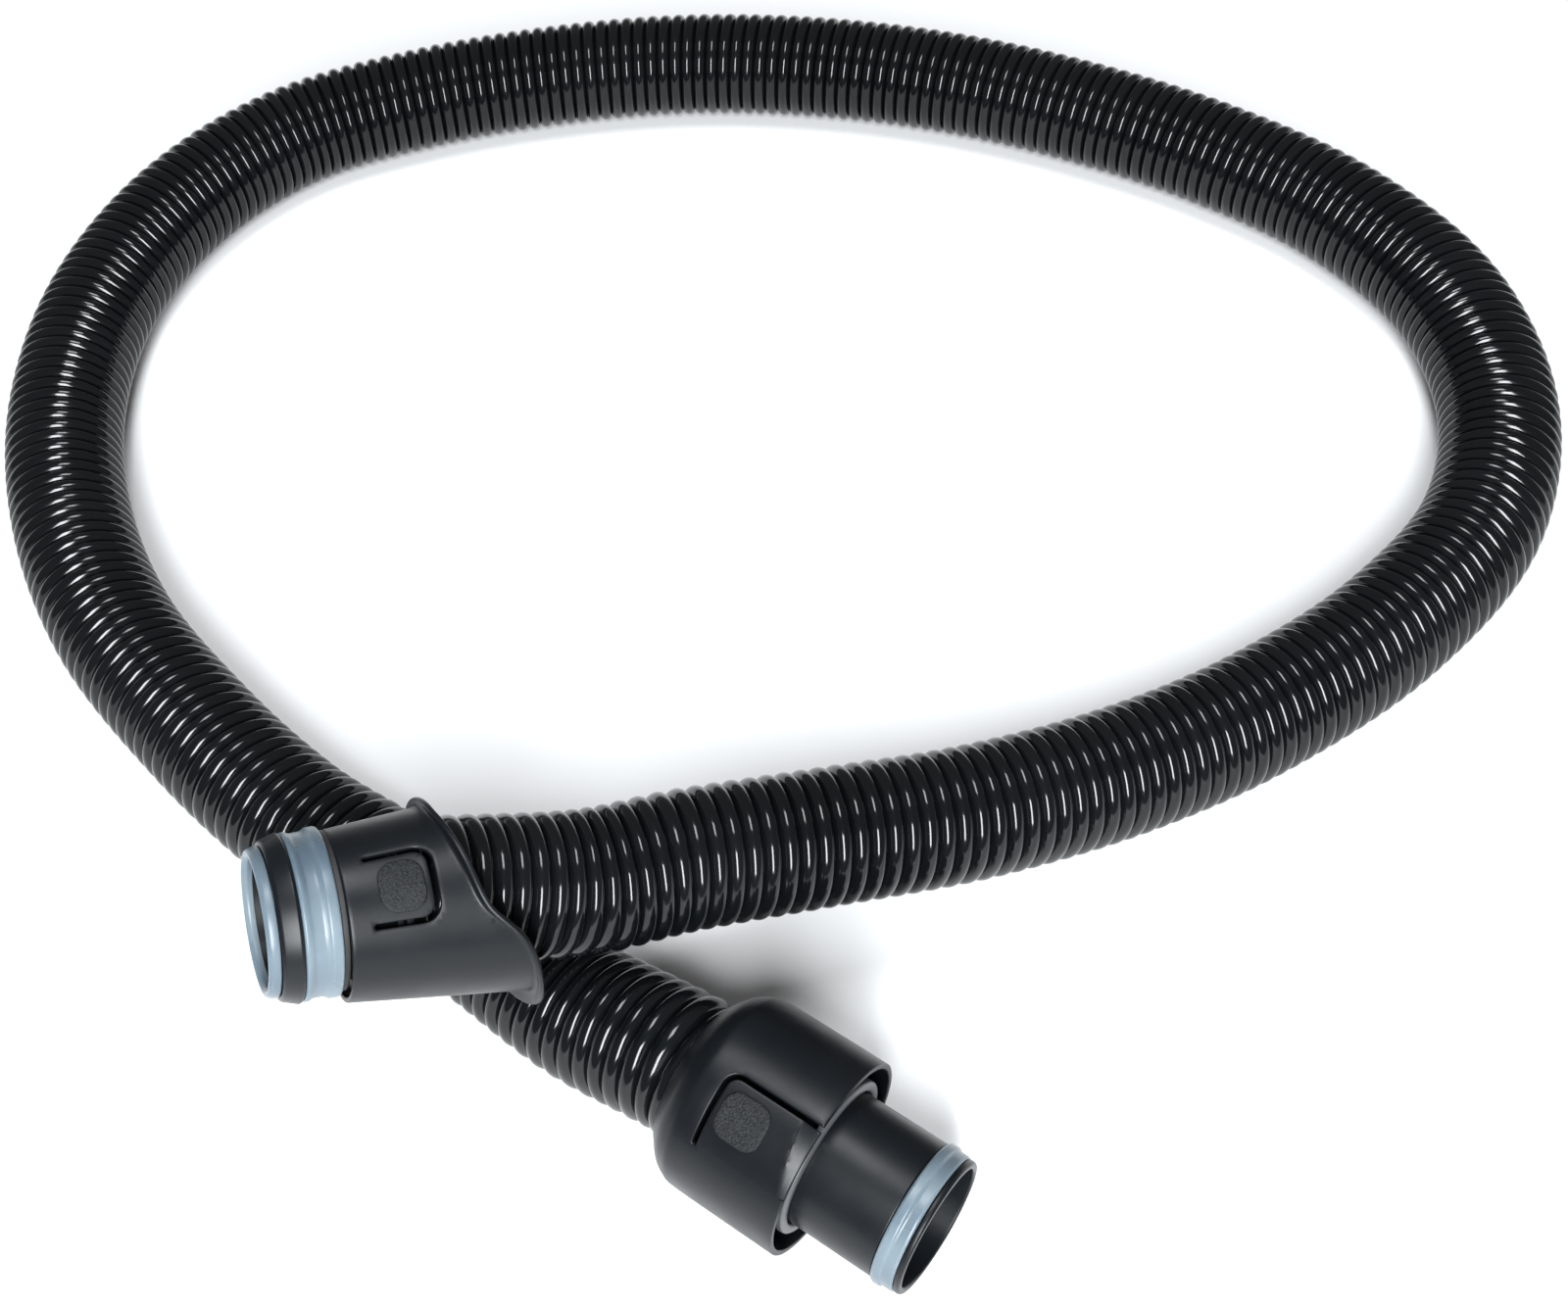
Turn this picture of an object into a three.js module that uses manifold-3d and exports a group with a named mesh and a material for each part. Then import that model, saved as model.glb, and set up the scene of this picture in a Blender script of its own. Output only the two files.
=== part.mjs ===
// Suction hose of a canister vacuum cleaner, lying in one open loop on the floor.
// A ribbed hose joins two end fittings, and each fitting swivels about its own axis:
// the inlet fitting plugs into the cleaner, the wand fitting plugs into the wand.
// Units: millimetres. +Z is up and the floor is at z = 0.
//
// Each fitting is described in its own coordinates:
//   s    distance along its axis, 0 at its reference face, positive out of the fitting
//   r    distance from its axis
//   phi  angle round its axis in degrees, 0 at the top
import * as THREE from 'three';
import { mergeVertices } from 'three/addons/utils/BufferGeometryUtils.js';
import Module from 'manifold-3d';

const wasm = await Module();
wasm.setup();

// ---- Driving dimensions -------------------------------------------------------------
const GAP = 0.3;                       // left between pieces that touch
const SIDES = 36;                      // facets round a turned piece

const HOSE = { outer: 21, inner: 18.8, sides: 12, steps: 66, straight: 10 };
const TENSION = 0.5;                   // of the curve through the hose's route

// Where each fitting stands: its reference face, heading and tilt in degrees.
const WAND = { at: [57.8, -25.4, 30.2], heading: -38.3, tilt: 0 };
const INLET = { at: [-89.7, 23.8, 98.5], heading: 197.3, tilt: 17 };

// The route of the hose between its two straight ends, from the wand fitting.
const ROUTE = [
  [7, 13.7, 28.4], [-15, 30, 24], [-50, 62, 21.5], [-81.5, 85, 21.3], [-108, 105.5, 21.3],
  [-141, 140, 21.3], [-177, 187, 21.3], [-201, 240, 21.3], [-212, 296.5, 21.3], [-207, 355, 21.3],
  [-182.5, 409, 21.3], [-140.5, 449, 21.3], [-85.5, 469, 21.3], [-26.5, 478.5, 21.3],
  [31.5, 479.5, 21.3], [89.5, 470.5, 21.3], [146, 452.5, 21.3], [198.5, 426.5, 21.3],
  [247.5, 393.5, 21.3], [289.5, 353, 21.3], [317.5, 301.5, 21.3], [321, 243.5, 21.3],
  [300, 189.5, 21.3], [258, 148, 21.4], [208.5, 117.5, 23], [160.5, 95.5, 28.6],
  [110.5, 78.5, 37.8], [61.5, 66.5, 49], [21.5, 56.5, 59], [-8.5, 47, 67],
];

// The swivel joint that both fittings share, measured from the rear end of the spigot.
const SWIVEL = {
  bore: 17, boreLength: 9.2,
  sleeve: 16.7, sleeveInner: 15, sleeveFront: 13, sleeveInHose: 12,
  flange: 20.6, flangeFront: 2.5, flangeBack: 4.4,
  ringFront: 11.1, ringBack: 9.5, ringInner: 16.2, ringOuter: 17.6, groove: 15.9,
  sealFront: 0.3, sealBack: 2.2, sealInner: 17, sealOuter: 18.8,
};

const WAND_SPIGOT = {
  rear: -36, tip: 34.6, outer: 20.4, bore: 18.1, grooveBack: 25.7, grooveFront: 32.8, groove: 19.3,
  rimDrop: 0.2, chamfer: 0.5,
};
const TIP_SEAL = { proud: 0.2, bead: 0.6, beadBack: 0.4, beadFront: 1.4, slope: 0.8 };
const FLANGE_RING = { inner: 20.8, outer: 23.6, back: -2.7, front: -0.4, round: 0.8 };

// The collar's wall, and the rounded shoulder behind it as distances from its rim.
const COLLAR = { outer: 30.2, wall: 1.8, webFront: -31.5, webBack: -33.5, rear: -45.5, hole: 21.9 };
const SHOULDER = {
  outside: [[-34, 30.1], [-37.5, 29.4], [-40.6, 27.8], [-43, 25.2], [-45.5, 22.5]],
  inside: [[-43.5, 21.9], [-41.2, 24.4], [-38, 27.2]],
};

// The wand latch is a tongue cut from the collar by an L-shaped slot.
const WAND_LATCH = {
  root: -49.2, free: -8.5, rear: -28.4, corner: 3, slot: 1.4, hinge: GAP,
  pad: { phi: -26, s: -19.5, length: 14.6, width: 13.4, corner: 4.5, raise: 0.7 },
};

const INLET_SPIGOT = { rear: -33.3, front: -1.6, outer: 19, bore: 17.9 };
// Outside corners of the rings on the inlet spigot, and the washer behind them.
const FRONT_SEAL = { face: 0, back: -3.1, lip: 18.8, shoulder: [-0.9, 19.9], outer: 20.2 };
const CLAMP_RING = {
  back: -8.9, front: -3.4, outside: [[-3.4, 20.9], [-3.9, 21.3], [-8.5, 22.7], [-8.9, 22.4]],
};
const REAR_SEAL = {
  back: -18.6, front: -9.2,
  outside: [
    [-9.2, 22.3], [-10.2, 22.5], [-11.4, 22.1], [-14, 22.1], [-15.6, 22.6], [-18, 22.8], [-18.6, 22.2],
  ],
};
const WASHER = { back: -20.2, front: -18.9, outer: 20.9 };

// The inlet shell leans to one side of the axis, towards its long tail.
const SHELL = {
  front: -20.4, radius: 23.3, taper: 0.104, wall: 1.5,
  lean: 1.7, leanTaper: 0.022, tail: 117,
  webFront: -23, webBack: -25, webInner: 19.3,
  rearShort: -46.6, rearTail: -69.5, slant: 4.5, tailHalf: 38, tailEnd: 78,
  lip: 2.6, lipTail: 1.4, lipRun: 4, lipThick: 2,
};
const CUT = { inside: 17, outside: 32, rear: -46 };   // how far the cutting shapes reach
// The inlet latches are two tongues cut from the shell by U-shaped slots.
const INLET_LATCH = {
  centres: { left: 25, right: 205 }, half: 20.6, root: -27.3, free: -42.4, corner: 3.4,
  slot: 1.5, hinge: GAP,
  pad: { s: -34.9, length: 12, width: 13.6, corner: 4.4, raise: 0.7 },
};

// ---- Finishes ----------------------------------------------------------------------
const finish = (color, roughness) => new THREE.MeshStandardMaterial({ color, roughness, metalness: 0 });
const glossBlack = () => finish(0x0b0c0d, 0.25);
const satinGrey = () => finish(0x2c2e31, 0.5);
const grainedGrey = () => finish(0x3a3c3f, 0.75);
const paleGrey = () => finish(0x6a6d70, 0.5);
const milky = () => finish(0xb4c2ca, 0.35);
const darkRubber = () => finish(0x161616, 0.7);
const plainBlack = () => finish(0x1c1d1e, 0.5);

// ---- Shape helpers -------------------------------------------------------------------
const rad = THREE.MathUtils.degToRad;
const onAxis = (s, r, phi) => [s, r * Math.sin(rad(phi)), r * Math.cos(rad(phi))];

function geometryFrom(points, triangles) {
  const geometry = new THREE.BufferGeometry();
  geometry.setAttribute('position', new THREE.Float32BufferAttribute(points.flat(), 3));
  geometry.setIndex(triangles);
  return geometry;
}

// A ring whose section may change round the axis: section(phi) lists its [s, r] corners,
// going round it with the solid on the left.
function ring(section, sides = SIDES) {
  const points = [];
  const triangles = [];
  let corners = 0;
  for (let j = 0; j < sides; j += 1) {
    const phi = (360 * j) / sides;
    const outline = typeof section === 'function' ? section(phi) : section;
    corners = outline.length;
    outline.forEach(([s, r]) => points.push(onAxis(s, r, phi)));
  }
  for (let j = 0; j < sides; j += 1) {
    for (let i = 0; i < corners; i += 1) {
      const a = j * corners + i;
      const b = j * corners + ((i + 1) % corners);
      const c = ((j + 1) % sides) * corners + i;
      const d = ((j + 1) % sides) * corners + ((i + 1) % corners);
      triangles.push(a, d, b, a, c, d);
    }
  }
  return geometryFrom(points, triangles);
}

// A curved block between two radii. Each span gives its phi and the ends s0 and s1 there.
function block(spans, inner, outer) {
  const points = spans.flatMap(({ phi, s0, s1 }) => [
    onAxis(s0, inner, phi), onAxis(s1, inner, phi), onAxis(s1, outer, phi), onAxis(s0, outer, phi),
  ]);
  const triangles = [0, 1, 2, 0, 2, 3];
  const last = 4 * (spans.length - 1);
  for (let j = 0; j < spans.length - 1; j += 1) {
    for (let i = 0; i < 4; i += 1) {
      const a = 4 * j + i;
      const b = 4 * j + ((i + 1) % 4);
      triangles.push(a, b + 4, b, a, a + 4, b + 4);
    }
  }
  triangles.push(last, last + 2, last + 1, last, last + 3, last + 2);
  return geometryFrom(points, triangles);
}

// Spans of a rectangle on a cylinder of the given radius, with some corners rounded.
// round lists which corners: low and high are the phi ends, 0 and 1 the s ends.
function rounded({ phi0, phi1, s0, s1, corner, radius, round }) {
  const turn = THREE.MathUtils.radToDeg(corner / radius);
  const arc = [0, 0.1, 0.35, 0.7, 1];
  const middle = Math.max(1, Math.round((phi1 - phi0 - 2 * turn) / 8));
  const inset = (part) => corner * (1 - Math.sqrt(1 - (1 - part) ** 2));
  const span = (phi, part, side) => ({
    phi,
    s0: s0 + (round.includes(`${side}0`) ? inset(part) : 0),
    s1: s1 - (round.includes(`${side}1`) ? inset(part) : 0),
  });
  const spans = arc.map((part) => span(phi0 + turn * part, part, 'low'));
  for (let i = 1; i < middle; i += 1) {
    spans.push({ phi: phi0 + turn + ((phi1 - phi0 - 2 * turn) * i) / middle, s0, s1 });
  }
  return spans.concat(arc.toReversed().map((part) => span(phi1 - turn * part, part, 'high')));
}

const allCorners = ['low0', 'low1', 'high0', 'high1'];

function toSolid(geometry) {
  const bare = geometry.clone();
  bare.deleteAttribute('normal');
  bare.deleteAttribute('uv');
  const merged = mergeVertices(bare, 1e-4);
  return new wasm.Manifold(new wasm.Mesh({
    numProp: 3,
    vertProperties: new Float32Array(merged.attributes.position.array),
    triVerts: new Uint32Array(merged.index.array),
  }));
}

function fromSolid(solid) {
  const mesh = solid.getMesh();
  const geometry = new THREE.BufferGeometry();
  geometry.setAttribute('position', new THREE.Float32BufferAttribute(mesh.vertProperties, 3));
  geometry.setIndex([...mesh.triVerts]);
  return geometry;
}

// ---- Placing ---------------------------------------------------------------------------
function pose({ at, heading, tilt }) {
  const turn = new THREE.Matrix4().makeRotationZ(rad(heading));
  turn.multiply(new THREE.Matrix4().makeRotationY(-rad(tilt)));
  return turn.setPosition(...at);
}

const part = new THREE.Group();
part.name = 'vacuum_hose';

function addNode(name, geometry, material, fitting) {
  const shape = geometry.index ? geometry.toNonIndexed() : geometry;
  shape.computeVertexNormals();
  if (fitting) shape.applyMatrix4(pose(fitting));
  const mesh = new THREE.Mesh(shape, material);
  mesh.name = name;
  part.add(mesh);
}

// ---- The swivel parts that stay with the hose ----------------------------------------------
const hoseEnd = (rear) => rear - SWIVEL.flangeBack - GAP;

function swivelCuff(rear) {
  const w = SWIVEL;
  return ring([
    [hoseEnd(rear) - w.sleeveInHose, w.sleeve], [hoseEnd(rear) - w.sleeveInHose, w.sleeveInner],
    [rear + w.sleeveFront, w.sleeveInner], [rear + w.sleeveFront, w.sleeve],
    [rear + w.ringFront + GAP, w.sleeve], [rear + w.ringFront + GAP, w.groove],
    [rear + w.ringBack - GAP, w.groove], [rear + w.ringBack - GAP, w.sleeve],
    [rear - w.flangeFront, w.sleeve], [rear - w.flangeFront, w.flange],
    [rear - w.flangeBack, w.flange], [rear - w.flangeBack, w.sleeve],
  ]);
}

const plainRing = (back, front, inner, outer) => ring([
  [back, outer], [back, inner], [front, inner], [front, outer],
]);

function addSwivel(prefix, rear, fitting) {
  const w = SWIVEL;
  addNode(`${prefix}_hose_cuff`, swivelCuff(rear), plainBlack(), fitting);
  addNode(`${prefix}_retaining_ring`,
    plainRing(rear + w.ringBack, rear + w.ringFront, w.ringInner, w.ringOuter), satinGrey(), fitting);
  addNode(`${prefix}_swivel_seal`,
    plainRing(rear - w.sealBack, rear - w.sealFront, w.sealInner, w.sealOuter), darkRubber(), fitting);
}

// ---- Hose ------------------------------------------------------------------------------
const alongAxis = (fitting, s) => new THREE.Vector3(s, 0, 0).applyMatrix4(pose(fitting));

function hosePath() {
  const wandEnd = hoseEnd(WAND_SPIGOT.rear);
  const inletEnd = hoseEnd(INLET_SPIGOT.rear);
  return new THREE.CatmullRomCurve3([
    alongAxis(WAND, wandEnd),
    alongAxis(WAND, wandEnd - HOSE.straight),
    ...ROUTE.map((point) => new THREE.Vector3(...point)),
    alongAxis(INLET, inletEnd - HOSE.straight),
    alongAxis(INLET, inletEnd),
  ], false, 'catmullrom', TENSION);
}

function circle(radius, sides) {
  return Array.from({ length: sides }, (_, i) => {
    const angle = (2 * Math.PI * i) / sides;
    return new THREE.Vector2(radius * Math.cos(angle), radius * Math.sin(angle));
  });
}

function hoseTube() {
  const section = new THREE.Shape(circle(HOSE.outer, HOSE.sides));
  section.holes.push(new THREE.Path(circle(HOSE.inner, HOSE.sides)));
  return new THREE.ExtrudeGeometry(section, {
    steps: HOSE.steps, bevelEnabled: false, extrudePath: hosePath(),
  });
}

// ---- Wand fitting ------------------------------------------------------------------------
function wandSpigot() {
  const p = WAND_SPIGOT;
  const step = p.rear + SWIVEL.boreLength;
  return ring([
    [p.rear, p.outer], [p.rear, SWIVEL.bore], [step, SWIVEL.bore], [step, p.bore],
    [p.tip - p.chamfer, p.bore], [p.tip, p.bore + p.chamfer],
    [p.tip, p.outer - 2 * p.chamfer], [p.tip - p.chamfer, p.outer - p.rimDrop],
    [p.grooveFront, p.outer - p.rimDrop], [p.grooveFront, p.groove],
    [p.grooveBack, p.groove], [p.grooveBack, p.outer],
  ]);
}

function wandTipSeal() {
  const { outer, groove, grooveBack, grooveFront } = WAND_SPIGOT;
  const t = TIP_SEAL;
  const back = grooveBack + GAP;
  const front = grooveFront - GAP;
  return ring([
    [back, groove + GAP], [front, groove + GAP], [front, outer + t.proud],
    [back + t.beadFront + t.slope, outer + t.proud], [back + t.beadFront, outer + t.bead],
    [back + t.beadBack, outer + t.bead], [back, outer + t.proud],
  ]);
}

function flangeRing() {
  const f = FLANGE_RING;
  return ring([
    [f.back, f.outer], [f.back, f.inner], [f.front - f.round, f.inner], [f.front, f.inner + f.round],
    [f.front, f.outer - f.round], [f.front - f.round, f.outer],
  ]);
}

function collarBody() {
  const c = COLLAR;
  const inner = c.outer - c.wall;
  return ring([
    [0, c.outer], ...SHOULDER.outside, [c.rear, c.hole], ...SHOULDER.inside,
    [c.webBack, inner], [c.webBack, FLANGE_RING.inner],
    [c.webFront, FLANGE_RING.inner], [c.webFront, inner], [0, inner],
  ]);
}

// The tongue's outline, grown by the slot for the window that it sits in.
function wandLatchSpans(grow, hinge, front) {
  const l = WAND_LATCH;
  const turn = (length) => THREE.MathUtils.radToDeg(length / COLLAR.outer);
  return rounded({
    phi0: l.root - turn(hinge), phi1: l.free + turn(grow), s0: l.rear - grow, s1: front,
    corner: l.corner + grow, radius: COLLAR.outer, round: ['high0'],
  });
}

const through = [COLLAR.outer - COLLAR.wall - 1, COLLAR.outer + 1];
const pastRim = 1;

function wandCollar() {
  const window = block(wandLatchSpans(WAND_LATCH.slot, WAND_LATCH.hinge, pastRim), ...through);
  return fromSolid(toSolid(collarBody()).subtract(toSolid(window)));
}

function wandLatchTongue() {
  const tongue = block(wandLatchSpans(0, 0, pastRim), ...through);
  return fromSolid(toSolid(collarBody()).intersect(toSolid(tongue)));
}

function padSpans({ phi, s, length, width, corner }, radius) {
  const half = THREE.MathUtils.radToDeg(width / 2 / radius);
  return rounded({
    phi0: phi - half, phi1: phi + half, s0: s - length / 2, s1: s + length / 2,
    corner, radius, round: allCorners,
  });
}

function wandLatchPad() {
  const { pad } = WAND_LATCH;
  return block(padSpans(pad, COLLAR.outer), COLLAR.outer + GAP / 2, COLLAR.outer + pad.raise);
}

// ---- Inlet fitting -----------------------------------------------------------------------
function inletSpigot() {
  const p = INLET_SPIGOT;
  const step = p.rear + SWIVEL.boreLength;
  return ring([
    [p.rear, p.outer], [p.rear, SWIVEL.bore], [step, SWIVEL.bore], [step, p.bore],
    [p.front, p.bore], [p.front, p.outer],
  ]);
}

function inletFrontSeal() {
  const { outer, bore, front } = INLET_SPIGOT;
  const f = FRONT_SEAL;
  return ring([
    [front + GAP, bore], [f.face, bore], [f.face, f.lip], f.shoulder, [f.back, f.outer],
    [f.back, outer + GAP], [front + GAP, outer + GAP],
  ]);
}

// A ring on the spigot with the given corners outside, from its front to its back.
function ringOnSpigot({ back, front, outside }) {
  const inner = INLET_SPIGOT.outer + GAP;
  return ring([[back, inner], [front, inner], ...outside]);
}

const lean = (phi) => Math.cos(rad(phi - SHELL.tail));

function shellRadius(s, phi) {
  const back = SHELL.front - s;
  return SHELL.radius + SHELL.taper * back + (SHELL.lean + SHELL.leanTaper * back) * lean(phi);
}

// How far the tail has come in at this angle: 0 on the short side, 1 along the tail.
function tailShare(phi) {
  const away = Math.abs(THREE.MathUtils.euclideanModulo(phi - SHELL.tail + 180, 360) - 180);
  return 1 - THREE.MathUtils.smoothstep(away, SHELL.tailHalf, SHELL.tailEnd);
}

function shellRear(phi) {
  const slant = (turn) => SHELL.slant * (1 + turn) ** 1.5;
  const tail = SHELL.rearTail - SHELL.rearShort + slant(1);
  return SHELL.rearShort - slant(lean(phi)) + tail * tailShare(phi);
}

// The shell's section: its wall, an inner web that grips the spigot and a rolled rear lip.
function shellSection(phi) {
  const h = SHELL;
  const rear = shellRear(phi);
  const lip = h.lip + h.lipTail * tailShare(phi);
  const outer = (s) => shellRadius(s, phi);
  const inner = (s) => shellRadius(s, phi) - h.wall;
  return [
    [h.front, outer(h.front)], [rear + h.lipRun, outer(rear + h.lipRun)],
    [rear + h.lipThick / 2, outer(rear) + lip / 3], [rear, outer(rear) + lip],
    [rear - h.lipThick / 2, outer(rear) + lip], [rear - h.lipThick / 4, outer(rear) + lip / 10],
    [rear + h.lipThick, inner(rear + h.lipThick)],
    [h.webBack, inner(h.webBack)], [h.webBack, h.webInner],
    [h.webFront, h.webInner], [h.webFront, inner(h.webFront)], [h.front, inner(h.front)],
  ];
}

const shellReach = [CUT.inside, CUT.outside];

function inletLatchSpans(centre, grow, hinge) {
  const l = INLET_LATCH;
  const radius = shellRadius(l.free, centre);
  const half = l.half + THREE.MathUtils.radToDeg(grow / radius);
  return rounded({
    phi0: centre - half, phi1: centre + half, s0: l.free - grow, s1: l.root + hinge,
    corner: l.corner + grow, radius, round: ['low0', 'high0'],
  });
}

function inletShell() {
  let shell = toSolid(ring(shellSection, 2 * SIDES));
  for (const centre of Object.values(INLET_LATCH.centres)) {
    const spans = inletLatchSpans(centre, INLET_LATCH.slot, INLET_LATCH.hinge);
    shell = shell.subtract(toSolid(block(spans, ...shellReach)));
  }
  return fromSolid(shell);
}

// A wall that follows the shell between two heights over its outer face.
function shellLayer(from, to) {
  return ring((phi) => [
    [SHELL.front, shellRadius(SHELL.front, phi) + to],
    [CUT.rear, shellRadius(CUT.rear, phi) + to],
    [CUT.rear, shellRadius(CUT.rear, phi) + from],
    [SHELL.front, shellRadius(SHELL.front, phi) + from],
  ]);
}

function cutFromLayer(from, to, spans) {
  return fromSolid(toSolid(shellLayer(from, to)).intersect(toSolid(block(spans, ...shellReach))));
}

const inletLatchTongue = (centre) => cutFromLayer(-SHELL.wall, 0, inletLatchSpans(centre, 0, 0));

function inletLatchPad(centre) {
  const pad = { ...INLET_LATCH.pad, phi: centre };
  return cutFromLayer(GAP / 2, pad.raise, padSpans(pad, shellRadius(pad.s, centre)));
}

// ---- Assembly ------------------------------------------------------------------------------
addNode('hose_tube', hoseTube(), glossBlack());
addSwivel('wand', WAND_SPIGOT.rear, WAND);
addSwivel('inlet', INLET_SPIGOT.rear, INLET);

addNode('wand_spigot', wandSpigot(), satinGrey(), WAND);
addNode('wand_tip_seal', wandTipSeal(), milky(), WAND);
addNode('wand_flange_ring', flangeRing(), paleGrey(), WAND);
addNode('wand_collar', wandCollar(), satinGrey(), WAND);
addNode('wand_latch', wandLatchTongue(), satinGrey(), WAND);
addNode('wand_latch_pad', wandLatchPad(), grainedGrey(), WAND);

addNode('inlet_spigot', inletSpigot(), satinGrey(), INLET);
addNode('inlet_front_seal', inletFrontSeal(), milky(), INLET);
addNode('inlet_clamp_ring', ringOnSpigot(CLAMP_RING), satinGrey(), INLET);
addNode('inlet_rear_seal', ringOnSpigot(REAR_SEAL), milky(), INLET);
addNode('inlet_seal_washer',
  plainRing(WASHER.back, WASHER.front, INLET_SPIGOT.outer + GAP, WASHER.outer), darkRubber(), INLET);
addNode('inlet_shell', inletShell(), satinGrey(), INLET);
for (const [side, centre] of Object.entries(INLET_LATCH.centres)) {
  addNode(`inlet_latch_${side}`, inletLatchTongue(centre), satinGrey(), INLET);
  addNode(`inlet_latch_pad_${side}`, inletLatchPad(centre), grainedGrey(), INLET);
}

export default part;
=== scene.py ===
"""Suction hose of a canister vacuum cleaner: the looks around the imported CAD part.

Lengths are in millimetres until a mesh is made, when MM turns them into metres.
Each fitting has its own coordinates: s along its axis (0 at its reference face, positive
outward), r from the axis, and phi in degrees round it (0 at the top).
"""
import math

import bmesh
import bpy
from mathutils import Matrix, Vector
from mathutils.geometry import delaunay_2d_cdt
from mathutils.kdtree import KDTree


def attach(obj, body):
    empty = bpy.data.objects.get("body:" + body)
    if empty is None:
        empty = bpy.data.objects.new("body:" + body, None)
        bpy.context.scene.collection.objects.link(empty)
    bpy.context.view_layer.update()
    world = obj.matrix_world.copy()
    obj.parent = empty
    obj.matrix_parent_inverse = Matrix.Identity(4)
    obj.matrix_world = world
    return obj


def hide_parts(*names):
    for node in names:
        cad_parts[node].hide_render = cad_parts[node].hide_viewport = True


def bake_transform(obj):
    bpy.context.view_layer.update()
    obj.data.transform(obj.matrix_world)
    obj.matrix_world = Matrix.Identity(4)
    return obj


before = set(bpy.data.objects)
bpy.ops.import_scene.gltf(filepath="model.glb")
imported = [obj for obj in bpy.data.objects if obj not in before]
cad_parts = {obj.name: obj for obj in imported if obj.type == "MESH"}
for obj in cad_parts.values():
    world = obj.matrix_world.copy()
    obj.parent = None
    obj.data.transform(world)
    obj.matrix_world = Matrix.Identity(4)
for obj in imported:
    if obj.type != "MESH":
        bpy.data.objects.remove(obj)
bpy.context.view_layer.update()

MM = 0.001
NEAR = 1e-4                       # closer than this counts as the same place


def fitting(at, heading, tilt):
    """The frame of a fitting: where its reference face is, and which way its axis points."""
    turn = Matrix.Rotation(math.radians(heading), 4, "Z") @ Matrix.Rotation(-math.radians(tilt), 4, "Y")
    return Matrix.Translation(at) @ turn


WAND = fitting((57.8, -25.4, 30.2), -38.3, 0)
INLET = fitting((-89.7, 23.8, 98.5), 197.3, 17)

# ---- Camera -----------------------------------------------------------------------------
CAMERA = {
    "at": (54.4, -215.6, 530.24), "pitch": 53.909, "roll": 4.142, "lens": 42.77, "sensor": 36,
    "clip_start": 10,
}


def add_camera():
    """A camera above the front of the loop, tipped down by its pitch and rolled a little."""
    pitch = math.radians(CAMERA["pitch"])
    roll = math.radians(CAMERA["roll"])
    forward = Vector((0, math.cos(pitch), -math.sin(pitch)))
    down = Vector((0, -math.sin(pitch), -math.cos(pitch)))
    side = Vector((1, 0, 0))
    right = side * math.cos(roll) + down * math.sin(roll)
    up = side * math.sin(roll) - down * math.cos(roll)
    data = bpy.data.cameras.new("camera")
    data.lens = CAMERA["lens"]
    data.sensor_width = CAMERA["sensor"]
    data.clip_start = CAMERA["clip_start"] * MM
    camera = bpy.data.objects.new("camera", data)
    axes = Matrix((right, up, -forward)).transposed().to_4x4()
    camera.matrix_world = Matrix.Translation(Vector(CAMERA["at"]) * MM) @ axes
    bpy.context.collection.objects.link(camera)
    bpy.context.scene.camera = camera


# ---- Materials --------------------------------------------------------------------------
NOISE_LOW, NOISE_HIGH = 0.3, 0.7  # nearly all of the noise lies between these


def new_material(name, colour, roughness, **sockets):
    """A material, its node tree and its shader. A socket's name has _ for each space."""
    material = bpy.data.materials.new(name)
    material.use_nodes = True
    shader = material.node_tree.nodes["Principled BSDF"]
    shader.inputs["Base Color"].default_value = (*colour, 1)
    shader.inputs["Roughness"].default_value = roughness
    for socket, value in sockets.items():
        shader.inputs[socket.replace("_", " ")].default_value = value
    return material, material.node_tree, shader


def noise(tree, scale, detail=3):
    """Noise in the object's own space, so many cycles to the metre."""
    place = tree.nodes.new("ShaderNodeTexCoord")
    texture = tree.nodes.new("ShaderNodeTexNoise")
    texture.inputs["Scale"].default_value = scale
    texture.inputs["Detail"].default_value = detail
    tree.links.new(place.outputs["Object"], texture.inputs["Vector"])
    return texture.outputs["Fac"]


def vary_colour(tree, shader, factor, low, high):
    """A base colour that goes from low to high as the factor does."""
    ramp = tree.nodes.new("ShaderNodeValToRGB")
    stops = zip(ramp.color_ramp.elements, (NOISE_LOW, NOISE_HIGH), (low, high))
    for stop, position, colour in stops:
        stop.position = position
        stop.color = (*colour, 1)
    tree.links.new(factor, ramp.inputs["Fac"])
    tree.links.new(ramp.outputs["Color"], shader.inputs["Base Color"])


def vary_roughness(tree, shader, factor, low, high):
    """A roughness that goes from low to high as the factor does."""
    scale = tree.nodes.new("ShaderNodeMapRange")
    scale.inputs["From Min"].default_value = NOISE_LOW
    scale.inputs["From Max"].default_value = NOISE_HIGH
    scale.inputs["To Min"].default_value = low
    scale.inputs["To Max"].default_value = high
    tree.links.new(factor, scale.inputs["Value"])
    tree.links.new(scale.outputs["Result"], shader.inputs["Roughness"])


def add_bump(tree, shader, height, strength, distance):
    """A fine relief of the surface. The distance is in millimetres."""
    bump = tree.nodes.new("ShaderNodeBump")
    bump.inputs["Strength"].default_value = strength
    bump.inputs["Distance"].default_value = distance * MM
    tree.links.new(height, bump.inputs["Height"])
    tree.links.new(bump.outputs["Normal"], shader.inputs["Normal"])


def hose_plastic():
    material, tree, shader = new_material(
        "hose_plastic", (0.003, 0.0036, 0.0042), 0.15, Specular_IOR_Level=0.3,
    )
    vary_colour(tree, shader, noise(tree, 25), (0.0022, 0.0028, 0.0032), (0.004, 0.0048, 0.0053))
    vary_roughness(tree, shader, noise(tree, 60), 0.1, 0.15)
    add_bump(tree, shader, noise(tree, 700, 2), 0.05, 0.03)
    return material


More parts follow.
